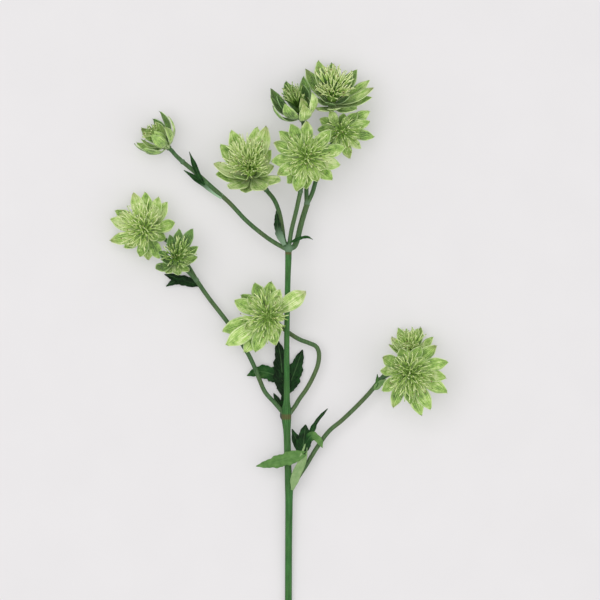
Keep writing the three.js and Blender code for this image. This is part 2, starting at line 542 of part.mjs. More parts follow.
// The middle line of a head's stalk. It meets the receptacle along the head's axis, just short of it, or
// where the head sits close to the surface it comes in level under the receptacle.
function stalkOf(head) {
  if (head.level) return head.stalk;
  const { axis } = frameOf(head);
  const end = RECEPTACLE_DEPTH + CLEAR;
  const last = [end + STALK_RUN, end].map((down) => vector(head.base).addScaledVector(axis, -down));
  return [...head.stalk, ...last.map((p) => p.toArray())];
}

function branchSolid(name, grow = 0) {
  const runs = BRANCHES[name].map(({ radius, path }) => {
    const radii = path.map(() => radius);
    return tube(path, radii, TWIG_SIDES, path.length, grow);
  });
  for (const stalk of HEADS.filter((head) => head.on === name).map(stalkOf)) {
    const radii = stalk.map((p, i) => (i ? STALK_RADIUS : TWIG_RADIUS));
    runs.push(tube(stalk, radii, TWIG_SIDES, stalk.length + 1, grow));
  }
  if (name === 'branch_top') {
    const joint = new THREE.SphereGeometry(TOP_JOINT_RADIUS + grow, ...TOP_JOINT_SEGMENTS);
    runs.push(solidOf(joint.translate(...TOP_JOINT)));
  }
  return joined(runs);
}

// The stem ends short of the top joint, and the other branches end short of the stem.
const spray = new THREE.Group();
const solids = {};
const stemSpace = stemSolid(CLEAR);
const topSpace = branchSolid('branch_top', CLEAR);
const lowSpaces = ['branch_right', 'branch_left', 'branch_middle'].map((name) => branchSolid(name, CLEAR));
const stalkSpace = joined([stemSpace, topSpace, ...lowSpaces]);

solids.main_stem = stemSolid().subtract(topSpace).subtract(FOOT_WEDGE);
for (const name of Object.keys(BRANCHES)) {
  const whole = branchSolid(name);
  solids[name] = name === 'branch_top' ? whole : whole.subtract(stemSpace);
}
for (const head of HEADS) {
  solids[`${head.name}_bracts`] = bractsOf(head);
  solids[`${head.name}_florets`] = floretsOf(head);
}
for (const leaf of LEAVES) {
  solids[leaf.name] = joined(leaf.lobes.map(lobe)).subtract(stalkSpace);
}

function materialOf(name) {
  const kinds = { bracts: 'bract', florets: 'floret', leaf: 'leaf' };
  const kind = kinds[name.split('_').at(-1)] ?? kinds[name.split('_')[0]] ?? 'stem';
  return new THREE.MeshStandardMaterial(COLOURS[kind]);
}

for (const [name, solid] of Object.entries(solids)) {
  const mesh = new THREE.Mesh(geometryOf(solid.subtract(UNDERGROUND)), materialOf(name));
  mesh.name = name;
  spray.add(mesh);
}

// The origin is on the surface, under the middle of the whole spray.
const centre = new THREE.Box3().setFromObject(spray).getCenter(new THREE.Vector3());
spray.position.set(-centre.x, -centre.y, 0);

export default spray;
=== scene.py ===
# A cut spray of masterwort lying on a pale floor, seen from straight above.
# Lengths below are in millimetres in the spray's own coordinates: x across it, y from the foot of the stem to
# the heads, z up off the surface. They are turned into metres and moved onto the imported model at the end.
import math

import bpy
import numpy as np
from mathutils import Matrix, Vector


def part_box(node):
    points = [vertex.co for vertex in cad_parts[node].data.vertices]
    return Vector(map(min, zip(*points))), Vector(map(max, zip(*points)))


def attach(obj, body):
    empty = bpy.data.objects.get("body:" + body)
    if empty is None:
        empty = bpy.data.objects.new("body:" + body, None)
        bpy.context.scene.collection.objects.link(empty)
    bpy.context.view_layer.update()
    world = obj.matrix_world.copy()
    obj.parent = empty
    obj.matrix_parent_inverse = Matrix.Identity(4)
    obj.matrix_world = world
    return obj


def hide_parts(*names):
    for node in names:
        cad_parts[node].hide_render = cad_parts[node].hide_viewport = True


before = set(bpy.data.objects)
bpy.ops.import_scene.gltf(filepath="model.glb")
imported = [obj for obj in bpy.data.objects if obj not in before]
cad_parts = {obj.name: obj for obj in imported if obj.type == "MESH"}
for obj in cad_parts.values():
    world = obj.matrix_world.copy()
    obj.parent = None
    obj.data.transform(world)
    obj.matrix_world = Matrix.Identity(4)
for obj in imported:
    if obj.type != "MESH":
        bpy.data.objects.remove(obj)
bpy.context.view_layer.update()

MM = 0.001

# The low corner of the main stem's solid in the spray's own coordinates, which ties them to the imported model.
STEM_CORNER = (-3.133, -28.222)

# The main stem: points along its middle line with the radius there. Two joints swell it.
STEM = [
    (0.1, -30, 1.5, 1.72), (0.2, 0, 1.6, 1.72), (0.3, 28, 2.8, 1.72), (0.5, 50, 4.1, 1.85), (0.5, 57, 4.6, 2.1),
    (0.1, 64, 5.1, 1.7), (-0.5, 84, 6.9, 1.75), (-0.8, 91, 7.5, 2.5), (-0.8, 95, 7.9, 2.5), (-0.6, 100, 8.4, 1.5),
    (-0.6, 130, 10.8, 1.36), (-0.1, 160, 12.8, 1.38), (0.2, 171, 13.5, 1.6), (0.2, 174.5, 13.7, 1.6),
]
FOOT_CUT_DEG = 38
JOINT_RINGS = ((55.5, 1.2, 0.35), (91.8, 1.7, 1.0), (173.4, 1.0, 1.0))  # y, half width and strength of each ring
TOP_JOINT = (0.3, 175.6, 13.8)
TOP_JOINT_RADIUS = 2.1
FORK_RADIUS = 1.4
TWIG_RADIUS = 1.1
STALK_RADIUS = 1.0
STALK_RUN = 2.2

# The branches, each a list of runs. The heads' stalks are with the heads.
BRANCHES = {
    "branch_right": [
    dict(radius=TWIG_RADIUS, path=[[0.5, 54.5, 4.5], [2.7, 57.2, 4.6], [4.8, 61, 4.8], [8.9, 67.2, 5.2],
      [14.4, 76.2, 5.8], [20.5, 84.5, 6.2], [26.8, 89.8, 6.4], [35.2, 97.8, 6.4], [41.1, 104.1, 6.2],
      [46, 110.2, 6.2]]),
    ],
    "branch_left": [
    dict(radius=TWIG_RADIUS, path=[[-0.8, 92.5, 7.6], [-3.6, 95.2, 7.2], [-6.6, 98.6, 6.6], [-11.4, 104, 5.8],
      [-14.2, 110.2, 5.6], [-16.6, 116.2, 5.4], [-20.1, 123.4, 5.2], [-29.9, 138.4, 4.8],
      [-39.7, 151.2, 4.8], [-45.8, 160, 4.8]]),
    ],
    "branch_middle": [
    dict(radius=TWIG_RADIUS, path=[[-0.2, 92.5, 7.4], [3, 96.2, 6.8], [5.6, 100.4, 6.4], [9.4, 105.8, 5.5],
      [13, 112.6, 5], [15.1, 118.4, 4.8], [15.4, 123.8, 4.8], [14, 126.8, 4.8], [10.8, 128.4, 4.8],
      [6, 130.2, 4.8], [1, 133.2, 4.6], [-4.5, 137.6, 4.4]]),
    ],
    "branch_top": [
    dict(radius=TWIG_RADIUS, path=[[0.3, 175.6, 13.8], [-2.5, 176.4, 13.4], [-8.2, 179.6, 12.4],
      [-15.2, 184.8, 11.4], [-21.2, 190, 10.6], [-29.4, 198.7, 9.8], [-37.6, 206, 9], [-46.6, 214.1, 8.2],
      [-52.6, 219, 7.2]]),
    dict(radius=TWIG_RADIUS, path=[[0.3, 175.6, 13.8], [-1.9, 179.5, 13.2], [-2.8, 185.5, 12],
      [-4.3, 193.4, 10.2], [-6.8, 199.8, 8.6], [-10.9, 205, 7]]),
    dict(radius=TWIG_RADIUS, path=[[0.3, 175.6, 13.8], [0.9, 179.5, 14], [1.8, 185, 14.2], [4, 194, 14],
      [6.2, 204, 13.6]]),
    dict(radius=FORK_RADIUS, path=[[0.3, 175.6, 13.8], [2.9, 176.6, 12.6], [4.6, 180.3, 11.6],
      [6, 186, 10.6], [7.5, 191.6, 9.8], [9.4, 197.6, 9]]),
    dict(radius=TWIG_RADIUS, path=[[9.4, 197.6, 9], [9.2, 203.4, 8.8], [9.2, 216, 8], [8.2, 228, 9.4]]),
    dict(radius=TWIG_RADIUS, path=[[9.4, 197.6, 9], [12.1, 203.4, 8], [14, 210, 6.8], [16.2, 217.5, 6]]),
    ],
}

# The flower heads. base is the middle of the bracts' roots and axis the way the cup faces. length is the usual
# length of an outer bract and spread its angle from the axis, in degrees. tips are the places that the outer
# bracts' tips lie over, as [x, y] or [x, y, spread], in order round the head. Heads seen from the side have
# even, the number of bracts spaced evenly instead, and turned lists single ones as [azimuth, share of length].
# crowded lists sectors, as [from, to, share of full length], where a neighbour keeps the even and the inner
# bracts short.
HEADS = [
    dict(name="head_far_left", on="branch_top", base=[-61, 227.3, 7.3], axis=[-0.68, 0.63, 0.36], length=15.5,
      spread=40, bow=0.2, tips=[], even=9, inner=3, florets=8, reach=0.44, roll=4, seed=1,
      stalk=[[-52.6, 219, 7.2], [-56.2, 222.4, 6.6]]),
    dict(name="head_left_large", on="branch_left", base=[-70.4, 184.2, 5], axis=[-0.22, 0.2, 0.95], length=19,
      spread=63, inner=4, florets=13, roll=9, seed=2, crowded=[[-75, 10, 0.7]], level=True,
      tips=[[-89, 179.4], [-89, 190], [-86, 195.2], [-77.5, 203.5], [-71.5, 204], [-64, 201.5], [-60, 199],
        [-56, 188.8, 66], [-61, 180.6, 80], [-64.2, 170.6, 82], [-69.5, 169.8, 76], [-74, 171.5, 70],
        [-81.6, 175.6, 66]],
      stalk=[[-45.8, 160, 4.8], [-49.5, 166.5, 3.2], [-55, 174.5, 2], [-62, 180.6, 1.4], [-70, 184, 1.2]]),
    dict(name="head_left_small", on="branch_left", base=[-56, 169.4, 12], axis=[0.1, 0.42, 0.9], length=14,
      spread=56, inner=3, florets=9, roll=22, seed=3, crowded=[[100, 175, 0.8]],
      tips=[[-45, 177], [-47.5, 185.5], [-54.5, 185.5], [-59, 182.5], [-64.5, 174], [-66.2, 165.6],
        [-60.5, 163.4], [-55, 162.4], [-49.6, 164.4], [-45, 171]],
      stalk=[[-45.8, 160, 4.8], [-50.5, 164.6, 5.6]]),
    dict(name="head_top_left", on="branch_top", base=[-18.6, 212.2, 9.6], axis=[-0.06, 0.5, 0.866], length=23,
      spread=48, inner=4, florets=14, roll=14, seed=4, crowded=[[-40, 35, 0.7]],
      tips=[[-8.5, 225, 52], [-10.5, 237], [-15.5, 236.5], [-28.5, 234.5], [-33.5, 228], [-37.5, 217],
        [-36, 212.5], [-28.5, 205.5], [-21, 203.5], [-11.6, 205.4], [-4.2, 209.2], [-7, 216.5, 54]],
      stalk=[[-10.9, 205, 7], [-14.6, 207.8, 5.8]]),
    dict(name="head_top_centre", on="branch_top", base=[9, 220.8, 20.5], axis=[0.02, 0.1, 1], length=18.8,
      spread=64, inner=4, florets=13, roll=12, seed=5, crowded=[[55, 85, 0.8]],
      tips=[[28.5, 226], [21.5, 234.5], [9.3, 239.4], [1.5, 238], [-4.5, 234], [-7.5, 228], [-8.3, 219.4],
        [-5.4, 212.8], [0, 207.6], [4, 204], [9, 205], [15, 208.8], [22.4, 209.8], [26.2, 217]],
      stalk=[[6.2, 204, 13.6], [7.6, 212.2, 13], [8.8, 217.8, 13]]),
    dict(name="head_back_left", on="branch_top", base=[6.6, 241.6, 15.5], axis=[-0.24, 0.82, 0.5],
      length=19.2, spread=39, bow=0.2, tips=[], even=10, inner=3, florets=10, reach=0.48, roll=0,
      seed=6, crowded=[[-30, 50, 0.5]], stalk=[[8.2, 228, 9.4], [8, 232.6, 10.6]]),
    dict(name="head_back_right", on="branch_top", base=[22, 247.8, 10], axis=[0.03, 0.74, 0.67], length=21.5,
      spread=58, inner=5, florets=14, roll=8, seed=7, crowded=[[150, 250, 0.5], [250, 360, 0.8]],
      tips=[[41.8, 250.6], [43, 255.5], [41, 259.5], [34.5, 265], [22, 268.5], [14.5, 269.5], [8.5, 265]],
      turned=[[205, 0.46], [240, 0.7], [275, 0.8], [310, 0.9]],
      stalk=[[16.2, 217.5, 6], [18.5, 226, 4.8], [20.8, 238, 4.8]]),
    dict(name="head_right_top", on="branch_top", base=[26.2, 234.8, 11], axis=[0.2, -0.12, 0.97], length=15.5,
      spread=68, inner=3, florets=9, roll=12, seed=8, crowded=[[50, 135, 0.7], [195, 245, 0.75]],
      tips=[[43, 231], [41, 239], [40.5, 244.5], [34.5, 243.5], [28, 243], [21, 244], [16, 240.8],
        [14.8, 234.8], [19, 229], [23.6, 223], [31, 220.5]],
      stalk=[[16.2, 217.5, 6], [20, 224, 5.6], [23.6, 231.6, 4.8]]),
    dict(name="head_middle", on="branch_middle", base=[-9.9, 141.9, 9.5], axis=[0, 0, 1], length=23,
      spread=73, inner=5, florets=14, roll=30, seed=9, reach=0.34,
      crowded=[[-60, 62, 0.45], [62, 360, 0.85]],
      tips=[[9, 153.5, 47], [-4.2, 152, 64], [-9, 159.5], [-17, 158.5], [-23.5, 152.5], [-27, 149.5],
        [-33, 134.5], [-30.5, 127], [-21.5, 123.5], [-16.5, 124], [-9.4, 130.4], [-4.5, 131.5]],
      stalk=[[-4.5, 137.6, 4.4], [-8, 140.4, 4.2]]),
    dict(name="head_right_large", on="branch_right", base=[59.6, 114.6, 16], axis=[0.14, -0.2, 0.97],
      length=18, spread=63, inner=5, florets=14, roll=20, seed=10,
      tips=[[79, 111], [79.5, 119.5], [74, 127.5], [66, 127], [56.5, 126], [46.8, 121.6], [46, 114.6],
        [47, 104.5], [52, 96.4], [61, 98], [66.5, 91], [71.5, 95.5], [79.6, 103.8]],
      stalk=[[46, 110.2, 6.2], [50, 112.6, 7.4], [55.4, 114.4, 9]]),
    dict(name="head_right_small", on="branch_right", base=[61.6, 121.6, 5.7], axis=[-0.05, 0.8, 0.6],
      length=15.5, spread=50, inner=3, florets=10, roll=10, seed=11, crowded=[[190, 350, 0.5]],
      tips=[[72, 132], [66.5, 136.5], [60.5, 138], [55, 136], [51.5, 131.5]],
      turned=[[188, 0.85], [225, 0.5], [270, 0.5], [315, 0.5]],
      stalk=[[46, 110.2, 6.2], [50, 114, 4.8], [56, 116.4, 3]]),
]

# How pale and yellow the green of each head is, from 0 to 1: partly each head's own colour, partly painted shade, which
# sets it lower on the heads that face away from the light.
HEAD_TONES_AND_SHADES = {
    "head_far_left": 0.3, "head_left_large": 0.6, "head_left_small": 0.2, "head_top_left": 0.72,
    "head_top_centre": 0.54, "head_back_left": 0.16, "head_back_right": 0.4, "head_right_top": 0.48,
    "head_middle": 0.48, "head_right_large": 0.52, "head_right_small": 0.52,
}

# Painted shade on one side of a head: the azimuth on which its bracts are painted darkest, and how much darker they are
# painted there.
PAINTED_SHADE_SIDES = {"head_left_small": (90, 0.34), "head_back_left": (120, 0.3)}

# How much painted shade darkens the heart of a head below its filaments' tips, where it isn't the usual: its dome,
# floret stalks and filament roots, and by half its inner bracts. The usual value, below zero, paints the heart a little
# paler instead.
HEART_SHADES = {"head_top_left": 0.15, "head_back_left": 0.4, "head_back_right": 0.7, "head_left_small": 0.1}
USUAL_HEART_SHADE = -0.12

# Flower head proportions, as shares of the head's bract length unless noted.
FLORET_TONES = {
    "head_far_left": 0.5, "head_left_large": 0.85, "head_left_small": 0.46, "head_top_left": 0.82,
    "head_top_centre": 0.68, "head_back_left": 0.38, "head_back_right": 1.0, "head_right_top": 0.5,
    "head_middle": 0.6, "head_right_large": 0.62, "head_right_small": 0.6,
}
RECEPTACLE_DEPTH = 2.6  # mm
RECEPTACLE_RADIUS = 2.4  # mm
RECEPTACLE_RISE = 1.8  # mm
ROOT_RADIUS = 1.3  # mm
ROOT_STEP = 0.45  # mm
INNER_ROOT = 1.35  # mm
BOW = 0.07
OUTER_STAGGER = 3  # degrees
INNER_CLOSER = 12  # degrees
INNER_LENGTH = 0.76
CAMBER = 0.25
LENGTH_SHARES = (0.4, 1.25)  # least and most length of an outer bract, as shares of the usual
ODD_LENGTH = 0.05  # mm of miss that a bract's tip is worth for each mm of unusual length
OUTER_HALF_WIDTH = 0.17
INNER_HALF_WIDTH = 0.15
BRACT_THICKNESS = 0.28  # mm
DOME_BASE = 2.2  # mm
DOME_RADIUS = 0.13
DOME_HEIGHT = 0.1
FLORETS_EACH = 2.9  # real florets for each club of the solid
FLORET_CLOSER = 6  # degrees inside the outer bracts
FLORET_SHARES = {"head_far_left": 0.7, "head_back_left": 0.8, "head_back_right": 0.9, "head_right_top": 0.9,
                 "head_middle": 0.88, "head_right_small": 0.84}  # smaller in half open heads
FLORET_STALK = 0.3
FILAMENT = 0.42
FILAMENTS_EACH = 4
FILAMENT_RADIUS = 0.3  # mm

# The leaves: every lobe is a toothed blade along its path.
LEAVES = {
    "leaf_low": [
      dict(path=[[2, 55, 8], [4, 62.4, 8.6], [7, 69.2, 9], [9.4, 80, 9.2]], width=2.3, teeth=0, shape=0.9),
      dict(path=[[9.5, 73.6, 9.2], [3, 71.8, 9.4], [-2.2, 70.2, 9.4], [-9, 68.4, 9.2], [-16, 67, 8.6]],
        width=3.8, teeth=3, shape=0.75),
      dict(path=[[7, 73, 9.2], [4.8, 78.6, 8.6], [2, 85.6, 9.8]], width=2.6, teeth=1, shape=0.7),
      dict(path=[[7.4, 73, 9.2], [8, 81, 9], [8.8, 87.8, 9.4]], width=4.3, teeth=2, shape=0.6),
      dict(path=[[9.2, 77, 9.2], [12, 84.8, 10], [14.6, 89.8, 11.4], [19.8, 95.8, 12.6]],
        width=1.4, teeth=2, shape=0.7),
      dict(path=[[8.6, 78, 9.2], [11.8, 82, 10], [15, 80.6, 10], [17.2, 76.2, 9.6]],
        width=2.6, teeth=2, shape=0.6),
    ],
    "leaf_middle": [
      dict(path=[[-1.2, 88.6, 3.4], [-1.8, 96, 3.6], [-2, 106, 3]], width=2.6, teeth=0, shape=0.1),
      dict(path=[[-1.6, 109, 3], [-8, 112.9, 2.4], [-14.4, 114.3, 2.2], [-20.5, 112.2, 2.4]],
        width=4.2, teeth=3, shape=0.75),
      dict(path=[[-1.6, 101, 3.1], [-2.8, 112, 2.6], [-3.8, 122, 2.3], [-5.4, 130.2, 2.8]],
        width=4.9, teeth=3, shape=0.7),
      dict(path=[[-1.6, 102, 3.2], [1, 108.2, 2.6], [3.5, 114.6, 2], [7.3, 125.2, 1.4]],
        width=4.4, teeth=3, shape=0.95),
      dict(path=[[-1.6, 95, 3.4], [-4.6, 98.8, 3], [-7.2, 103.4, 2.4]], width=1.9, teeth=1, shape=0.6),
    ],
    "leaf_left": [
      dict(path=[[-44.6, 157.4, 2.4], [-50, 159.2, 2.2], [-55, 160.8, 2], [-61.8, 162.8, 2.2]],
        width=2.9, teeth=2, shape=0.5),
      dict(path=[[-45.6, 157.6, 2.4], [-51, 159.2, 2.2], [-56, 159.4, 2], [-61, 156.8, 1.6]],
        width=2.6, teeth=2, shape=0.5),
    ],
    "leaf_sheath": [
      dict(path=[[-33, 201.4, 10.4], [-37.6, 204.9, 9.2], [-45.2, 210.2, 8.4], [-52, 214.8, 8.6]],
        width=2.1, teeth=1, shape=0.3),
      dict(path=[[-41.6, 207.4, 9], [-44, 211, 11], [-46.6, 217, 11.4], [-49.3, 224, 11.6]],
        width=1.5, teeth=1, shape=0.6),
    ],
    "leaf_top_left": [
      dict(path=[[-1.8, 177.4, 16.9], [-4.7, 184, 16], [-5.9, 194.6, 15.8]], width=2, teeth=3, shape=0.8),
    ],
    "leaf_top_right": [
      dict(path=[[1.2, 178.6, 16.9], [5.4, 180.6, 16.9], [9.6, 181.4, 16.6], [12.4, 180.2, 16]],
        width=0.9, teeth=2, shape=0.6),
    ],
    "leaf_right": [
      dict(path=[[43, 105.2, 8.6], [46, 108.2, 8.8], [48.8, 110.4, 9.6]], width=1.8, teeth=1, shape=0.6),
      dict(path=[[43.6, 106, 8.6], [44.6, 109.4, 8.8], [44.6, 113, 8.8]], width=0.9, teeth=0, shape=0.7),
    ],
}
# How pale each lobe is, from 0 to 1, and how much paler the leaf gets towards its root.
LEAF_TONES = {
    "leaf_low": (0.86, 0.56, 0.04, 0.08, 0.1, (0.1, 0.6)), "leaf_middle": (0.06, (0.0, 0.3), 0.0, 0.1, 0.06),
    "leaf_left": (0.0, 0.06), "leaf_sheath": (0.16, 0.12), "leaf_top_left": (0.06,),
    "leaf_top_right": (0.2,), "leaf_right": (0.74, 0.36),
}
PALE_ROOTS = {"leaf_sheath": (0.9, 0.0), "leaf_top_left": (0.5,)}
LEAF_CAMBER = 0.14
LEAF_THICKNESS = 0.3  # mm
SUNK = 0.15  # mm, a fine blade lies this far under the face of the solid that it stands for

# The picture: 300 mm square, taken from straight above with a long lens.
VIEW_CENTRE = (6, 150)
VIEW_SIZE = 300
CAMERA_HEIGHT = 6  # m
SENSOR = 36  # mm


def colour(red, green, blue):
    """A colour from its 8-bit screen values."""
    screen = np.array([red, green, blue]) / 255
    linear = np.where(screen <= 0.04045, screen / 12.92, ((screen + 0.055) / 1.055) ** 2.4)
    return (*(float(v) for v in linear), 1.0)


def unit(v):
    return v / np.linalg.norm(v, axis=-1, keepdims=True)


def draw(seed, count):
    """A repeatable draw between 0 and 1."""
    wave = math.sin(seed * 127.1 + count * 311.7) * 43758.5453
    return wave - math.floor(wave)


def smoothstep(low, high, x):
    t = np.clip((x - low) / (high - low), 0, 1)
    return t * t * (3 - 2 * t)


# Curves


def spline(points, count):
    """Evenly spaced points, and where each is between the given ones, on a centripetal Catmull-Rom curve."""
    p = np.array(points, float)
    p = np.vstack([2 * p[0] - p[1], p, 2 * p[-1] - p[-2]])
    curve, place = [], []
    fine = np.linspace(0, 1, 24, endpoint=False)[:, None]
    for i in range(1, len(p) - 2):
        x0, x1, x2, x3 = p[i - 1:i + 3]
        d0, d1, d2 = (max(np.linalg.norm(b - a), 1e-6) ** 0.5 for a, b in ((x0, x1), (x1, x2), (x2, x3)))
        m1 = ((x1 - x0) / d0 - (x2 - x0) / (d0 + d1) + (x2 - x1) / d1) * d1
        m2 = ((x2 - x1) / d1 - (x3 - x1) / (d1 + d2) + (x3 - x2) / d2) * d1
        curve.append(x1 + m1 * fine + (3 * (x2 - x1) - 2 * m1 - m2) * fine ** 2 + (2 * (x1 - x2) + m1 + m2) * fine ** 3)
        place.append(i - 1 + fine[:, 0])
    curve = np.vstack(curve + [p[-2][None]])
    place = np.append(np.concatenate(place), len(points) - 1)
    run = np.append(0, np.cumsum(np.linalg.norm(np.diff(curve, axis=0), axis=1)))
    even = np.linspace(0, run[-1], count)
    at = np.stack([np.interp(even, run, curve[:, k]) for k in range(3)], axis=1)
    return at, np.interp(even, run, place)


def carried_frames(path):
    """Two directions across a path at each of its points, carried along it without twisting."""
    tangents = unit(np.gradient(path, axis=0))
    start = np.array([0, 0, 1.0]) if abs(tangents[0][2]) < 0.8 else np.array([1.0, 0, 0])
    first = np.zeros_like(path)
    last = start
    for i, tangent in enumerate(tangents):
        last = unit(last - tangent * np.dot(last, tangent))
        first[i] = last
    return first, np.cross(tangents, first)


# Meshes


class Mesh:
    """Collects vertices, faces and paint. Paint is four numbers a vertex that the materials read."""

    def __init__(self):
        self.points, self.quads, self.triangles, self.paint, self.total = [], [], [], [], 0

    def add(self, points, quads, triangles, paint):
        self.points.append(points)
        if len(quads):
            self.quads.append(np.asarray(quads) + self.total)
        if len(triangles):
            self.triangles.append(np.asarray(triangles) + self.total)
        self.paint.append(paint)
        self.total += len(points)

    def build(self, name, material, smooth=True):
        """The object in metres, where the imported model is."""
        points = (np.vstack(self.points) + [*shift, 0]) * MM
        faces = [tuple(f) for group in self.quads + self.triangles for f in group.tolist()]
        mesh = bpy.data.meshes.new(name)
        mesh.from_pydata(points.tolist(), [], faces)
        paint = mesh.attributes.new("paint", "FLOAT_COLOR", "POINT")
        paint.data.foreach_set("color", np.vstack(self.paint).astype(np.float32).ravel())
        mesh.polygons.foreach_set("use_smooth", np.full(len(faces), smooth))
        mesh.materials.append(material)
        mesh.update()
        piece = bpy.data.objects.new(name, mesh)
        bpy.context.scene.collection.objects.link(piece)
        return piece


def grid_quads(rows, columns, wrap=False):
    """The quads of a grid of vertices, row by row."""
    i, j = np.meshgrid(np.arange(rows - 1), np.arange(columns if wrap else columns - 1), indexing="ij")
    after = (j + 1) % columns
    a, b, c, d = i * columns + j, i * columns + after, (i + 1) * columns + after, (i + 1) * columns + j
    return np.stack([a, b, c, d], axis=-1).reshape(-1, 4)


def painted(along, across, tone, extra=0.0):
    """Paint for each vertex of a grid."""
    return np.stack(np.broadcast_arrays(along, across, tone, extra), axis=-1).reshape(-1, 4)


def add_sheet(mesh, upper, thickness, along, across, tone, extra=0.0):
    """A closed thin sheet under a grid of points whose columns cross it from left to right."""
    rows, columns, _ = upper.shape
    normal = unit(np.cross(np.gradient(upper, axis=1), np.gradient(upper, axis=0)))
    upper = upper - normal * SUNK
    lower = upper - normal * thickness
    face = grid_quads(rows, columns)
    size = rows * columns
    edge = np.concatenate([
        np.arange(columns), np.arange(1, rows) * columns + columns - 1,
        (rows - 1) * columns + np.arange(columns - 2, -1, -1), np.arange(rows - 2, 0, -1) * columns])
    after = np.roll(edge, -1)
    walls = np.stack([edge, edge + size, after + size, after], axis=1)
    points = np.vstack([upper.reshape(-1, 3), lower.reshape(-1, 3)])
    paint = painted(along, across, tone, extra)
    mesh.add(points, np.vstack([face, face[:, ::-1] + size, walls]), [], np.vstack([paint, paint]))


def add_tube(mesh, path, radii, sides, paint_along, tone, extra=0.0, ridges=0, ridge_depth=0.0):
    """A closed tube along a path, with lengthwise ridges if asked."""
    first, second = carried_frames(path)
    angle = np.arange(sides) * 2 * np.pi / sides
    shape = 1 + ridge_depth * np.cos(ridges * angle)
    reach = np.asarray(radii)[:, None] * shape[None]
    ring = first[:, None] * np.cos(angle)[None, :, None] + second[:, None] * np.sin(angle)[None, :, None]
    points = (path[:, None] + ring * reach[..., None]).reshape(-1, 3)
    rows = len(path)
    points = np.vstack([points, path[:1], path[-1:]])
    after = (np.arange(sides) + 1) % sides
    low = np.stack([np.full(sides, rows * sides), after, np.arange(sides)], axis=1)
    top = np.stack([np.full(sides, rows * sides + 1), (rows - 1) * sides + np.arange(sides),
                    (rows - 1) * sides + after], axis=1)
    along = np.asarray(paint_along, float)
    tone = np.broadcast_to(np.asarray(tone, float).reshape(-1, 1), (len(path), 1))
    paint = painted(along[:, None], (angle / (2 * np.pi))[None], tone, np.asarray(extra, float).reshape(-1, 1))
    ends = painted(along[[0, -1]], 0.5, tone[[0, -1], 0])
    mesh.add(points, grid_quads(rows, sides, wrap=True), np.vstack([low, top]), np.vstack([paint, ends]))


def add_ball(mesh, centre, axis, radius, height, tone, along, rings=5, sides=8, extra=0.0):
    """An ellipsoid as a short tube with closed ends."""
    turn = np.linspace(0.08, 0.92, rings) * np.pi
    path = centre + axis * (-np.cos(turn) * height)[:, None]
    add_tube(mesh, path, np.sin(turn) * radius, sides, np.full(rings, along), tone, np.full(rings, extra))


# Stems


def stem_mesh():
    mesh = Mesh()
    path, place = spline([p[:3] for p in STEM], 300)
    known = np.array([p[3] for p in STEM])
    radii = np.interp(place, np.arange(len(STEM)), known)
    radii = np.convolve(np.pad(radii, 3, mode="edge"), np.ones(7) / 7, mode="valid")
    joint = sum(np.exp(-((path[:, 1] - y) / half) ** 4) * strength for y, half, strength in JOINT_RINGS)
    path[:, 2] = np.maximum(path[:, 2], radii * 0.97)
    slope = math.tan(math.radians(FOOT_CUT_DEG))
    add_tube(mesh, path, radii, 28, joint, 0.55, path[:, 1] / 200, ridges=7, ridge_depth=0.035)
    points = mesh.points[0]
    foot_line = STEM_CORNER[1] + 0.4 + (points[:, 2] - 0.2) * slope
    low = points[:, 1] < foot_line
    points[low, 1] = foot_line[low]
    return mesh


def stalk_of(head):
    """The middle line of a head's stalk, up to the receptacle."""
    if head.get("level"):
        return head["stalk"]
    axis, _, _ = directions(head)
    ends = [np.array(head["base"]) - axis * (RECEPTACLE_DEPTH - 0.4 + run) for run in (STALK_RUN, 0)]
    return head["stalk"] + [tuple(p) for p in ends]


def branch_mesh(name):
    mesh = Mesh()
    for run in BRANCHES[name]:
        path, _ = spline(run["path"], 14 * len(run["path"]))
        start = smoothstep(0, 6, np.linspace(0, 1, len(path)) * 90)
        joint = 1 - smoothstep(0, 5, np.linalg.norm(path - path[0], axis=1))
        radii = run["radius"] * (1 + 0.4 * (1 - start))
        add_tube(mesh, path, radii, 16, joint, 0.4, ridges=5, ridge_depth=0.05)
    for head in HEADS:
        if head["on"] != name:
            continue
        line = stalk_of(head)
        path, place = spline(line, 12 * len(line))
        radii = np.interp(place, [0, 1, len(line) - 1], [TWIG_RADIUS, STALK_RADIUS, STALK_RADIUS])
        radii = radii * (1 + 0.45 * smoothstep(0.93, 1, np.linspace(0, 1, len(path))))
        joint = 0.7 * (1 - smoothstep(0, 3, np.linalg.norm(path - path[0], axis=1)))
        add_tube(mesh, path, radii, 16, joint, 0.4, ridges=5, ridge_depth=0.05)
        add_ball(mesh, path[0], unit(path[1] - path[0]), TWIG_RADIUS * 1.25, TWIG_RADIUS * 1.5, 0.35, 0.6)
    if name == "branch_top":
        add_ball(mesh, np.array(TOP_JOINT), np.array([0.0, 1.0, 0.0]), TOP_JOINT_RADIUS, TOP_JOINT_RADIUS * 1.15,
                 0.35, 0.9, rings=12, sides=20)
    return mesh


# Flower heads


def directions(head):
    """The head's axis and the two directions that azimuths are counted from."""
    axis = unit(np.array(head["axis"], float))
    zero = unit(np.array([1.0, 0, 0]) - axis * axis[0])
    return axis, zero, np.cross(axis, zero)


def outward(head, azimuth):
    _, zero, quarter = directions(head)
    return zero * math.cos(math.radians(azimuth)) + quarter * math.sin(math.radians(azimuth))


def share(sectors, azimuth):
    """The share of its full length that a bract keeps at an azimuth."""
    for start, end, kept in sectors or []:
        if (azimuth - start) % 360 <= end - start:
            return kept
    return 1


def bract_outline(t):
    """Half the bract's width along it: narrow at the root, broad past the middle, drawn out to a sharp tip."""
    broad = 3.5 * (t + 0.02) ** 1.2 * (1 - t) ** 0.75
    return broad * (1 - 0.38 * smoothstep(0.74, 1, t)) + 0.02 * (1 - t)


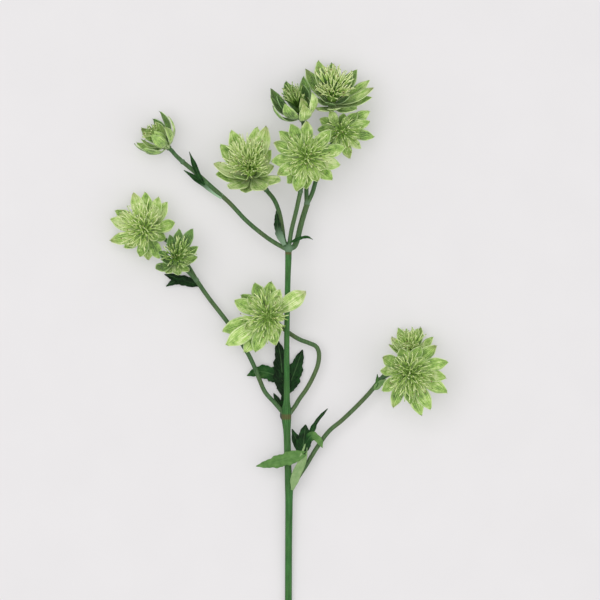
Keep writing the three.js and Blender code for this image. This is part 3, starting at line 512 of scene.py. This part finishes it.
def aimed(head, x, y, spread, root):
    """The azimuth, to the nearest degree, and the length that put a bract's tip over the point x, y."""
    axis, zero, quarter = directions(head)
    turn = np.radians(np.arange(360))[:, None]
    radial = zero * np.cos(turn) + quarter * np.sin(turn)
    start = np.array(head["base"]) + radial * ROOT_RADIUS + axis * root
    run = radial * math.sin(math.radians(spread)) + axis * math.cos(math.radians(spread))
    reach = np.hypot(run[:, 0], run[:, 1])
    to_x, to_y = x - start[:, 0], y - start[:, 1]
    length = (to_x * run[:, 0] + to_y * run[:, 1]) / reach ** 2
    aside = np.abs(to_x * run[:, 1] - to_y * run[:, 0]) / reach
    miss = aside + ODD_LENGTH * np.abs(length - head["length"])
    azimuth = int(np.argmin(np.where(length > 0, miss, np.inf)))
    return azimuth, float(np.clip(length[azimuth], *(share_ * head["length"] for share_ in LENGTH_SHARES)))


def outer_bracts(head):
    """The outer whorl as azimuth, length, spread and root height, every other one steeper and rooted higher."""
    whorl = []
    for tip in head["tips"]:
        up = 1 if len(whorl) % 2 else -1
        spread = (tip[2] if len(tip) > 2 else head["spread"]) - up * OUTER_STAGGER
        whorl.append((*aimed(head, tip[0], tip[1], spread, up * ROOT_STEP), spread, up * ROOT_STEP))
    places = list(head.get("turned", []))
    for i in range(head.get("even", 0)):
        azimuth = head["roll"] + i * 360 / head["even"] + 7 * (draw(head["seed"], i) - 0.5)
        kept = (0.93 + 0.14 * draw(head["seed"], 20 + i)) * share(head.get("crowded"), azimuth)
        places.append((azimuth, kept))
    for azimuth, kept in places:
        up = 1 if len(whorl) % 2 else -1
        whorl.append((azimuth, head["length"] * kept, head["spread"] - up * OUTER_STAGGER, up * ROOT_STEP))
    return whorl


def add_bract(mesh, head, azimuth, length, spread, half_width, root, number):
    """One bract, curved and turned a little by its own draws."""
    seed = head["seed"]
    axis, _, _ = directions(head)
    radial = outward(head, azimuth)
    side = np.cross(axis, radial)
    sin, cos = math.sin(math.radians(spread)), math.cos(math.radians(spread))
    inner = axis * sin - radial * cos
    t = np.linspace(0, 1, 22) ** 0.9
    s = np.linspace(-1, 1, 11)
    bow = head.get("bow", BOW)
    curl = length * 0.07 * (draw(seed, 100 + number) - 0.35)
    lean = length * 0.05 * (draw(seed, 130 + number) - 0.5)
    twist = 0.35 * (draw(seed, 160 + number) - 0.5)
    wave = 0.05 * length * (draw(seed, 190 + number) - 0.5)
    sag = bow * 4 * t * (1 - t)
    middle = (np.array(head["base"]) + np.outer(ROOT_RADIUS + length * (t * sin + sag * cos), radial)
              + np.outer(root + length * (t * cos - sag * sin), axis)
              + np.outer(curl * t ** 4, inner) + np.outer(lean * t ** 2, side))
    half = (length + head["length"]) / 2 * half_width * bract_outline(t)
    turn = twist * t
    level = s[None] * half[:, None]
    rise = CAMBER * s[None] ** 2 * half[:, None]
    rise = rise + wave * 0.12 * np.sin(9 * t[:, None] + 2 * s[None]) * s[None] ** 2
    rise = rise - 0.12 * np.exp(-(s[None] / 0.16) ** 2) * np.minimum(half[:, None] / 2, 1)
    upper = (middle[:, None] - side * (level * np.cos(turn)[:, None])[..., None]
             + inner * (rise + level * np.sin(turn)[:, None])[..., None])
    # Painted shade: a head's bracts are painted darker on its shaded side.
    shade_azimuth, shade_depth = PAINTED_SHADE_SIDES.get(head["name"], (0, 0))
    painted_shade = shade_depth * math.cos(math.radians(azimuth - shade_azimuth))
    # Painted shade: the inner bracts sit in the head's heart and take half of its painted shade.
    if number >= 15:
        painted_shade += 0.5 * HEART_SHADES.get(head["name"], USUAL_HEART_SHADE)
    tone = np.clip(HEAD_TONES_AND_SHADES[head["name"]] - painted_shade + 0.5 * (draw(seed, 220 + number) - 0.5), 0, 1)
    blush = max(0.0, draw(seed, 250 + number) * 1.6 - 0.9)
    add_sheet(mesh, upper, BRACT_THICKNESS, t[:, None], (s[None] + 1) / 2, tone, blush)


def bracts_mesh(head):
    """The two whorls of bracts with the receptacle that they grow from."""
    mesh = Mesh()
    seed = head["seed"]
    for i, (azimuth, length, spread, root) in enumerate(outer_bracts(head)):
        add_bract(mesh, head, azimuth, length, spread, OUTER_HALF_WIDTH, root, i)
    for i in range(head["inner"]):
        azimuth = head["roll"] + (i + 0.5) * 360 / head["inner"] + 9 * (draw(seed, 40 + i) - 0.5)
        kept = share(head.get("crowded"), azimuth)
        length = head["length"] * INNER_LENGTH * (0.9 + 0.2 * draw(seed, 60 + i)) * kept
        add_bract(mesh, head, azimuth, length, head["spread"] - INNER_CLOSER, INNER_HALF_WIDTH, INNER_ROOT, 15 + i)
    axis, _, _ = directions(head)
    height = np.array([-RECEPTACLE_DEPTH, -2.0, -1.2, -0.4, 0.4, 1.1, 1.6, RECEPTACLE_RISE])
    radius = np.array([0.95, 1.15, 1.9, RECEPTACLE_RADIUS, RECEPTACLE_RADIUS, 2.0, 1.2, 0.3])
    path = np.array(head["base"]) + np.outer(height, axis)
    add_tube(mesh, path, radius, 20, np.full(8, 0.03), HEAD_TONES_AND_SHADES[head["name"]], 0.0)
    return mesh


def add_floret(mesh, start, along, stalk, filament, seed, count, tone, shaded_heart):
    """A slender floret whose filaments fan out from its mouth and end in small anthers."""
    side = unit(np.cross(along, [0.31, 0.2, 0.93]))
    other = np.cross(along, side)
    steps = np.linspace(0, 1, 6)
    path = start + np.outer(steps * stalk, along)
    radii = 0.17 + 0.26 * np.exp(-((steps - 0.82) / 0.16) ** 2)
    add_tube(mesh, path, radii, 6, 0.15 + 0.3 * steps, shaded_heart, np.zeros(6))
    for k in range(FILAMENTS_EACH):
        turn = 2 * math.pi * (k + draw(seed, count * 7 + k)) / FILAMENTS_EACH
        lean = math.radians(5 + 16 * draw(seed, 900 + count * 7 + k))
        away = side * math.cos(turn) + other * math.sin(turn)
        reach = filament * (0.75 + 0.4 * draw(seed, 1700 + count * 7 + k))
        run = np.linspace(0, 1, 7)
        bend = math.sin(lean) * (0.8 * run + 0.3 * run ** 2.4)
        line = path[-1] + np.outer(run * reach * math.cos(lean), along) + np.outer(bend * reach, away)
        radius = FILAMENT_RADIUS * (1 - 0.3 * run)
        shade = np.clip(tone + 0.8 * (draw(seed, 2500 + count * 7 + k) - 0.5), 0, 1)
        add_tube(mesh, line, radius, 5, 0.45 + 0.4 * run, shaded_heart + (shade - shaded_heart) * run ** 0.7, np.zeros(7))
        ripe = draw(seed, 3300 + count * 7 + k)
        add_ball(mesh, line[-1], unit(line[-1] - line[-2] + 0.4 * away), 0.3, 0.46, shade, 1.0, rings=4, sides=6,
                 extra=ripe)


def florets_mesh(head):
    """The dome of florets, on a sunflower spiral."""
    mesh = Mesh()
    axis, _, _ = directions(head)
    size = head["length"]
    height = DOME_HEIGHT * size
    centre = np.array(head["base"]) + axis * (DOME_BASE + height)
    tone = FLORET_TONES[head["name"]]
    # The heart's tone, with the head's painted shade taken off it.
    shaded_heart = np.clip(tone - HEART_SHADES.get(head["name"], USUAL_HEART_SHADE), 0, 1)
    add_ball(mesh, centre, axis, DOME_RADIUS * size, height, shaded_heart, 0.05, rings=8, sides=16)
    widest = head["spread"] - FLORET_CLOSER
    whole = FLORET_SHARES.get(head["name"], 1)
    count = round(head["florets"] * FLORETS_EACH)
    for i in range(count):
        polar = math.radians(widest * ((i + 0.5) / count) ** 0.55)
        azimuth = i * 137.508
        along = outward(head, azimuth) * math.sin(polar) + axis * math.cos(polar)
        kept = 0.2 + 0.8 * share(head.get("crowded"), azimuth)
        stalk = size * FLORET_STALK * (0.85 + 0.3 * draw(head["seed"], 300 + i)) * kept * whole
        filament = size * FILAMENT * (0.55 + 0.45 * polar / math.radians(widest)) * kept * whole
        add_floret(mesh, centre, along, stalk + DOME_RADIUS * size * 0.8, filament, head["seed"], i, tone,
                   shaded_heart)
    return mesh


# Leaves


def tooth_line(t, teeth):
    """The share of the blade's width at each point of its edge: slants out to each tooth and steps back."""
    if teeth == 0:
        return np.ones_like(t)
    large = np.mod((t - 0.22) / 0.74 * teeth + 0.08, 1)
    small = np.mod((t - 0.22) / 0.74 * teeth * 2 + 0.3, 1)
    rise = np.minimum(large / 0.7, (1 - large) / 0.3)
    ripple = np.minimum(small / 0.7, (1 - small) / 0.3)
    edge = 0.76 + 0.2 * np.clip(rise, 0, 1) + 0.08 * np.clip(ripple, 0, 1)
    return np.where(t < 0.16, 0.8, edge)


def add_lobe(mesh, path, width, teeth, shape, tone, pale_root, number):
    """One toothed lobe, folded along its midrib and faintly waved."""
    centre, _ = spline(path, 64)
    t = np.linspace(0, 1, 64)
    s = np.linspace(-1, 1, 13)
    up = np.array([0, 0, 1.0])
    side = unit(np.cross(unit(np.gradient(centre, axis=0)), up))
    spindle = np.sin(np.pi * np.minimum(1, 0.12 + 0.88 * t) ** 0.9) ** 0.8
    half = width * ((1 - shape) * np.sqrt(1 - t) + shape * spindle) * tooth_line(t, teeth) + 0.02
    half = half * (1 - (0.2 if pale_root else 0.55) * (1 - smoothstep(0, 0.2, t)))
    level = s[None] * half[:, None]
    rise = np.abs(s[None]) ** 1.2 * half[:, None] * LEAF_CAMBER
    rise = rise + 0.1 * width * np.sin(11 * t[:, None] + number) * s[None] ** 2 * np.sin(np.pi * t)[:, None]
    rise = rise - 0.1 * np.exp(-(s[None] / 0.1) ** 2) * np.minimum(half[:, None], 1)
    upper = centre[:, None] + side[:, None] * level[..., None] + up * rise[..., None]
    root_tone, tip_tone = tone if isinstance(tone, tuple) else (tone, tone)
    tone = root_tone + (tip_tone - root_tone) * smoothstep(0.1, 0.6, t)[:, None]
    add_sheet(mesh, upper, LEAF_THICKNESS, t[:, None], (s[None] + 1) / 2, tone,
              pale_root * (1 - smoothstep(0.1, 0.62, t))[:, None])


def leaf_mesh(name):
    mesh = Mesh()
    for number, lobe in enumerate(LEAVES[name]):
        add_lobe(mesh, lobe["path"], lobe["width"], lobe["teeth"], lobe["shape"], LEAF_TONES[name][number],
                 PALE_ROOTS[name][number] if name in PALE_ROOTS else 0.0, number)
    return mesh


# Materials


class Nodes:
    """A short way to lay out a material's nodes."""

    def __init__(self, name):
        self.material = bpy.data.materials.new(name)
        self.material.use_nodes = True
        self.tree = self.material.node_tree
        self.shader = self.tree.nodes["Principled BSDF"]

    def node(self, kind, inputs=(), **settings):
        made = self.tree.nodes.new(kind)
        for key, value in settings.items():
            setattr(made, key, value)
        for key, value in dict(inputs).items():
            self.put(made.inputs[key], value)
        return made

    def put(self, socket, value):
        if isinstance(value, bpy.types.NodeSocket):
            self.tree.links.new(value, socket)
        else:
            socket.default_value = value

    def math(self, operation, *values, clamp=False):
        made = self.node("ShaderNodeMath", operation=operation, use_clamp=clamp)
        for socket, value in zip(made.inputs, values):
            self.put(socket, value)
        return made.outputs[0]

    def paint(self):
        """Along, across, tone and extra, as the mesh holds them."""
        read = self.node("ShaderNodeAttribute", attribute_name="paint")
        split = self.node("ShaderNodeSeparateColor", {"Color": read.outputs["Color"]})
        return (*split.outputs, read.outputs["Alpha"])

    def ramp(self, factor, *stops):
        made = self.node("ShaderNodeValToRGB", {"Fac": factor})
        band = made.color_ramp
        while len(band.elements) < len(stops):
            band.elements.new(0.5)
        for element, (place, shade) in zip(band.elements, stops):
            element.position = place
            element.color = shade
        return made.outputs["Color"]

    def mix(self, factor, first, second, blend="MIX"):
        made = self.node("ShaderNodeMix", data_type="RGBA", blend_type=blend)
        self.put(made.inputs[0], factor)
        self.put(made.inputs[6], first)
        self.put(made.inputs[7], second)
        return made.outputs[2]

    def blade_point(self, along, across, stretch, spin):
        """A point on the blade for textures that follow its length."""
        return self.node("ShaderNodeCombineXYZ", {
            "X": self.math("MULTIPLY", across, stretch[0]),
            "Y": self.math("MULTIPLY", along, stretch[1]),
            "Z": self.math("MULTIPLY", spin, 37.0)}).outputs[0]

    def noise(self, point, scale, detail=3.0, roughness=0.55):
        made = self.node("ShaderNodeTexNoise", {"Vector": point, "Scale": scale, "Detail": detail,
                                                "Roughness": roughness})
        return made.outputs["Fac"]

    def here(self):
        return self.node("ShaderNodeTexCoord").outputs["Object"]

    def bump(self, height, strength, distance):
        made = self.node("ShaderNodeBump", {"Strength": strength, "Distance": distance, "Height": height})
        self.put(self.shader.inputs["Normal"], made.outputs[0])

    def surface(self, base, roughness, specular=0.4, sheen=0.0):
        self.put(self.shader.inputs["Base Color"], base)
        self.put(self.shader.inputs["Roughness"], roughness)
        self.shader.inputs["Specular IOR Level"].default_value = specular
        self.shader.inputs["Sheen Weight"].default_value = sheen
        return self.material


def bract_material():
    """Papery yellow-green, streaked and netted with fine veins, deepened by painted shade at the root under the
    florets, and sharper at the tip.
    """
    n = Nodes("bract")
    along, across, tone, blush = n.paint()
    streak = n.noise(n.blade_point(along, across, (15.0, 2.0), tone), 1.0, 4.0, 0.7)
    patch = n.noise(n.here(), 300.0, 3.0)
    level = n.math("ADD", tone, n.math("MULTIPLY", n.math("SUBTRACT", streak, 0.5), 2.5))
    level = n.math("ADD", level, n.math("MULTIPLY", n.math("SUBTRACT", patch, 0.5), 1.8), clamp=True)
    base = n.ramp(level, (0.0, colour(56, 94, 30)), (0.33, colour(128, 174, 70)), (0.66, colour(186, 220, 114)),
                  (1.0, colour(244, 252, 198)))
    # Painted shade: the bract is painted a deeper green towards its root, where the florets crowd over it.
    root = n.ramp(along, (0.1, (1, 1, 1, 1)), (0.5, (0, 0, 0, 1)))
    base = n.mix(n.math("MULTIPLY", root, 0.7), base, colour(62, 102, 32))
    tip = n.ramp(along, (0.62, (0, 0, 0, 1)), (1.0, (1, 1, 1, 1)))
    base = n.mix(n.math("MULTIPLY", tip, 0.3), base, colour(162, 206, 84))
    brown = n.math("MULTIPLY", n.ramp(along, (0.72, (0, 0, 0, 1)), (0.98, (1, 1, 1, 1))), blush)
    base = n.mix(n.math("MULTIPLY", brown, 0.75), base, colour(146, 112, 84))
    wide = n.math("ABSOLUTE", n.math("SUBTRACT", across, 0.5))
    midrib = n.ramp(wide, (0.0, (1, 1, 1, 1)), (0.07, (0, 0, 0, 1)))
    base = n.mix(n.math("MULTIPLY", midrib, 0.3), base, colour(92, 132, 50))
    rim = n.ramp(wide, (0.38, (0, 0, 0, 1)), (0.5, (1, 1, 1, 1)))
    base = n.mix(n.math("MULTIPLY", rim, 0.6), base, colour(230, 246, 190))
    veins = n.math("ABSOLUTE", n.math("SINE", n.math("MULTIPLY", across, 22.0)))
    net = n.node("ShaderNodeTexVoronoi", {"Vector": n.blade_point(along, across, (9.0, 20.0), tone), "Scale": 1.0},
                 feature="DISTANCE_TO_EDGE").outputs["Distance"]
    lines = n.math("MULTIPLY", n.ramp(veins, (0.0, (0, 0, 0, 1)), (0.5, (1, 1, 1, 1))),
                   n.ramp(net, (0.0, (0.4, 0.4, 0.4, 1)), (0.12, (1, 1, 1, 1))))
    base = n.mix(n.math("MULTIPLY", n.math("SUBTRACT", 1.0, lines), 0.45), base, colour(226, 240, 180))
    # The tone, which carries the painted shade of shaded heads, sides and hearts, also dims the whole colour.
    base = n.mix(1.0, base, n.ramp(tone, (0.0, colour(196, 222, 204)), (0.3, colour(255, 255, 255))), "MULTIPLY")
    n.bump(lines, 0.6, 0.00016)
    return n.surface(base, 0.5, 0.35, 0.08)


def floret_material():
    """Green at the dome, cream-green along the filaments, with cream and a few mauve anthers."""
    n = Nodes("floret")
    along, _, tone, ripe = n.paint()
    # The floret stalks are painted a deeper green than the dome and filaments: partly their own green, partly painted
    # shade down among the filaments.
    base = n.ramp(along, (0.0, colour(158, 186, 98)), (0.2, colour(124, 162, 70)), (0.45, colour(160, 196, 100)),
                  (0.62, colour(212, 236, 150)), (0.85, colour(250, 255, 212)))
    anther = n.ramp(ripe, (0.0, colour(240, 248, 204)), (0.45, colour(206, 222, 150)), (0.85, colour(170, 190, 112)),
                    (0.98, colour(142, 118, 84)))
    is_anther = n.math("GREATER_THAN", along, 0.93)
    mottle = n.noise(n.here(), 1400.0, 2.0)
    base = n.mix(is_anther, base, anther)
    # The tone holds the heart's painted shade, so this darkens the dome, stalks and filament roots of shaded hearts.
    base = n.mix(1.0, base, n.ramp(tone, (0.0, colour(108, 138, 84)), (0.4, colour(192, 214, 164)),
                                   (0.8, colour(255, 255, 246))), "MULTIPLY")
    base = n.mix(n.math("MULTIPLY", mottle, 0.2), base, colour(126, 144, 80))
    n.bump(mottle, 0.3, 0.0001)
    return n.surface(base, 0.6, 0.3)


def stem_material(name, pale, deep, joint_colour, rust):
    """Green skin with faint lengthwise ribs and flecks, browner round the joints."""
    n = Nodes(name)
    joint, round_, tone, _ = n.paint()
    place = n.node("ShaderNodeMapping", {"Vector": n.here(), "Scale": (1.0, 0.12, 1.0)}).outputs[0]
    grain = n.noise(place, 900.0, 4.0)
    fleck = n.noise(n.here(), 2600.0, 2.0)
    ribs = n.math("ABSOLUTE", n.math("SINE", n.math("MULTIPLY", round_, 44.0)))
    level = n.math("ADD", n.math("MULTIPLY", grain, 0.7), n.math("MULTIPLY", ribs, 0.3))
    base = n.ramp(level, (0.25, deep), (0.75, pale))
    rusty = n.ramp(n.noise(n.here(), 70.0, 2.0), (0.42, (0, 0, 0, 1)), (0.66, (1, 1, 1, 1)))
    base = n.mix(n.math("MULTIPLY", rusty, rust), base, colour(112, 104, 68))
    ring = n.math("MULTIPLY", n.ramp(joint, (0.35, (0, 0, 0, 1)), (0.95, (1, 1, 1, 1))), 0.7)
    base = n.mix(ring, base, joint_colour)
    base = n.mix(n.math("MULTIPLY", n.math("GREATER_THAN", fleck, 0.66), 0.25), base, colour(138, 160, 110))
    n.bump(n.math("ADD", n.math("MULTIPLY", grain, 0.6), n.math("MULTIPLY", ribs, 0.5)), 0.35, 0.0001)
    return n.surface(base, 0.5, 0.15)


def leaf_material():
    """Dark green blade with a pale midrib and side veins that run out to the teeth."""
    n = Nodes("leaf")
    along, across, tone, paler = n.paint()
    wide = n.math("ABSOLUTE", n.math("SUBTRACT", across, 0.5))
    patch = n.noise(n.here(), 420.0, 3.0)
    level = n.math("ADD", tone, n.math("MULTIPLY", n.math("SUBTRACT", patch, 0.5), 0.5), clamp=True)
    base = n.ramp(level, (0.0, colour(8, 32, 8)), (0.25, colour(28, 74, 26)), (0.6, colour(94, 134, 70)),
                  (1.0, colour(150, 174, 124)))
    slant = n.math("SUBTRACT", n.math("MULTIPLY", along, 9.0), n.math("MULTIPLY", wide, 5.0))
    side_vein = n.math("ABSOLUTE", n.math("SINE", n.math("MULTIPLY", slant, math.pi)))
    side_line = n.ramp(side_vein, (0.0, (1, 1, 1, 1)), (0.22, (0, 0, 0, 1)))
    rib = n.ramp(wide, (0.0, (1, 1, 1, 1)), (0.05, (0, 0, 0, 1)))
    lines = n.math("ADD", n.math("MULTIPLY", side_line, 0.5), rib, clamp=True)
    base = n.mix(n.math("MULTIPLY", lines, 0.3), base, colour(112, 152, 96))
    base = n.mix(paler, base, colour(164, 196, 164))
    n.bump(n.math("SUBTRACT", n.math("MULTIPLY", patch, 0.4), lines), 0.45, 0.00015)
    return n.surface(base, 0.55, 0.12)


def floor_material():
    n = Nodes("floor")
    speck = n.noise(n.here(), 30.0, 2.0)
    base = n.ramp(speck, (0.3, colour(192, 190, 191)), (0.7, colour(194, 192, 193)))
    n.shader.inputs["Emission Color"].default_value = colour(235, 233, 234)
    n.shader.inputs["Emission Strength"].default_value = 0.285
    return n.surface(base, 0.9, 0.1)


# The scene


def add_floor():
    bpy.ops.mesh.primitive_plane_add(size=6, location=(0, 0, 0))
    floor = bpy.context.object
    floor.name = "floor"
    floor.data.materials.append(floor_material())


def add_light(name, place, size, power):
    """A round soft light that faces the spray. The camera looks past it."""
    data = bpy.data.lights.new(name, "AREA")
    data.shape = "DISK"
    data.size = size
    data.energy = power
    light = bpy.data.objects.new(name, data)
    light.location = place
    light.rotation_euler = (math.atan2(math.hypot(place[0], place[1]), place[2]), 0,
                            math.atan2(place[0], -place[1]))
    light.visible_camera = False
    bpy.context.scene.collection.objects.link(light)


def add_lights():
    add_light("key", (-0.42, 0.15, 1.6), 2.2, 17)
    add_light("fill", (0.9, -0.3, 1.2), 1.6, 4.5)
    world = bpy.data.worlds.new("studio")
    world.use_nodes = True
    world.node_tree.nodes["Background"].inputs["Color"].default_value = (1, 1, 1, 1)
    world.node_tree.nodes["Background"].inputs["Strength"].default_value = 0.58
    bpy.context.scene.world = world
    bpy.context.scene.view_settings.view_transform = "Standard"


def add_camera():
    data = bpy.data.cameras.new("camera")
    data.sensor_width = SENSOR
    data.lens = SENSOR * CAMERA_HEIGHT / (VIEW_SIZE * MM)
    data.clip_end = 20
    camera = bpy.data.objects.new("camera", data)
    camera.location = ((VIEW_CENTRE[0] + shift[0]) * MM, (VIEW_CENTRE[1] + shift[1]) * MM, CAMERA_HEIGHT)
    bpy.context.scene.collection.objects.link(camera)
    bpy.context.scene.camera = camera


def dress(node, mesh, material):
    """Puts a finished piece over its solid."""
    piece = mesh.build(node + "_fine", material)
    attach(piece, "root")
    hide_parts(node)


low_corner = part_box("main_stem")[0]
shift = (low_corner.x / MM - STEM_CORNER[0], low_corner.y / MM - STEM_CORNER[1])

add_camera()
add_floor()
add_lights()

stem_skin = stem_material("stem", colour(68, 126, 62), colour(22, 58, 26), colour(94, 76, 48), 0.1)
branch_skin = stem_material("branch", colour(88, 122, 78), colour(36, 66, 36), colour(110, 138, 112), 0.25)
bract_skin = bract_material()
floret_skin = floret_material()
leaf_skin = leaf_material()

dress("main_stem", stem_mesh(), stem_skin)
for branch in BRANCHES:
    dress(branch, branch_mesh(branch), branch_skin)
for head in HEADS:
    dress(head["name"] + "_bracts", bracts_mesh(head), bract_skin)
    dress(head["name"] + "_florets", florets_mesh(head), floret_skin)
for leaf in LEAVES:
    dress(leaf, leaf_mesh(leaf), leaf_skin)
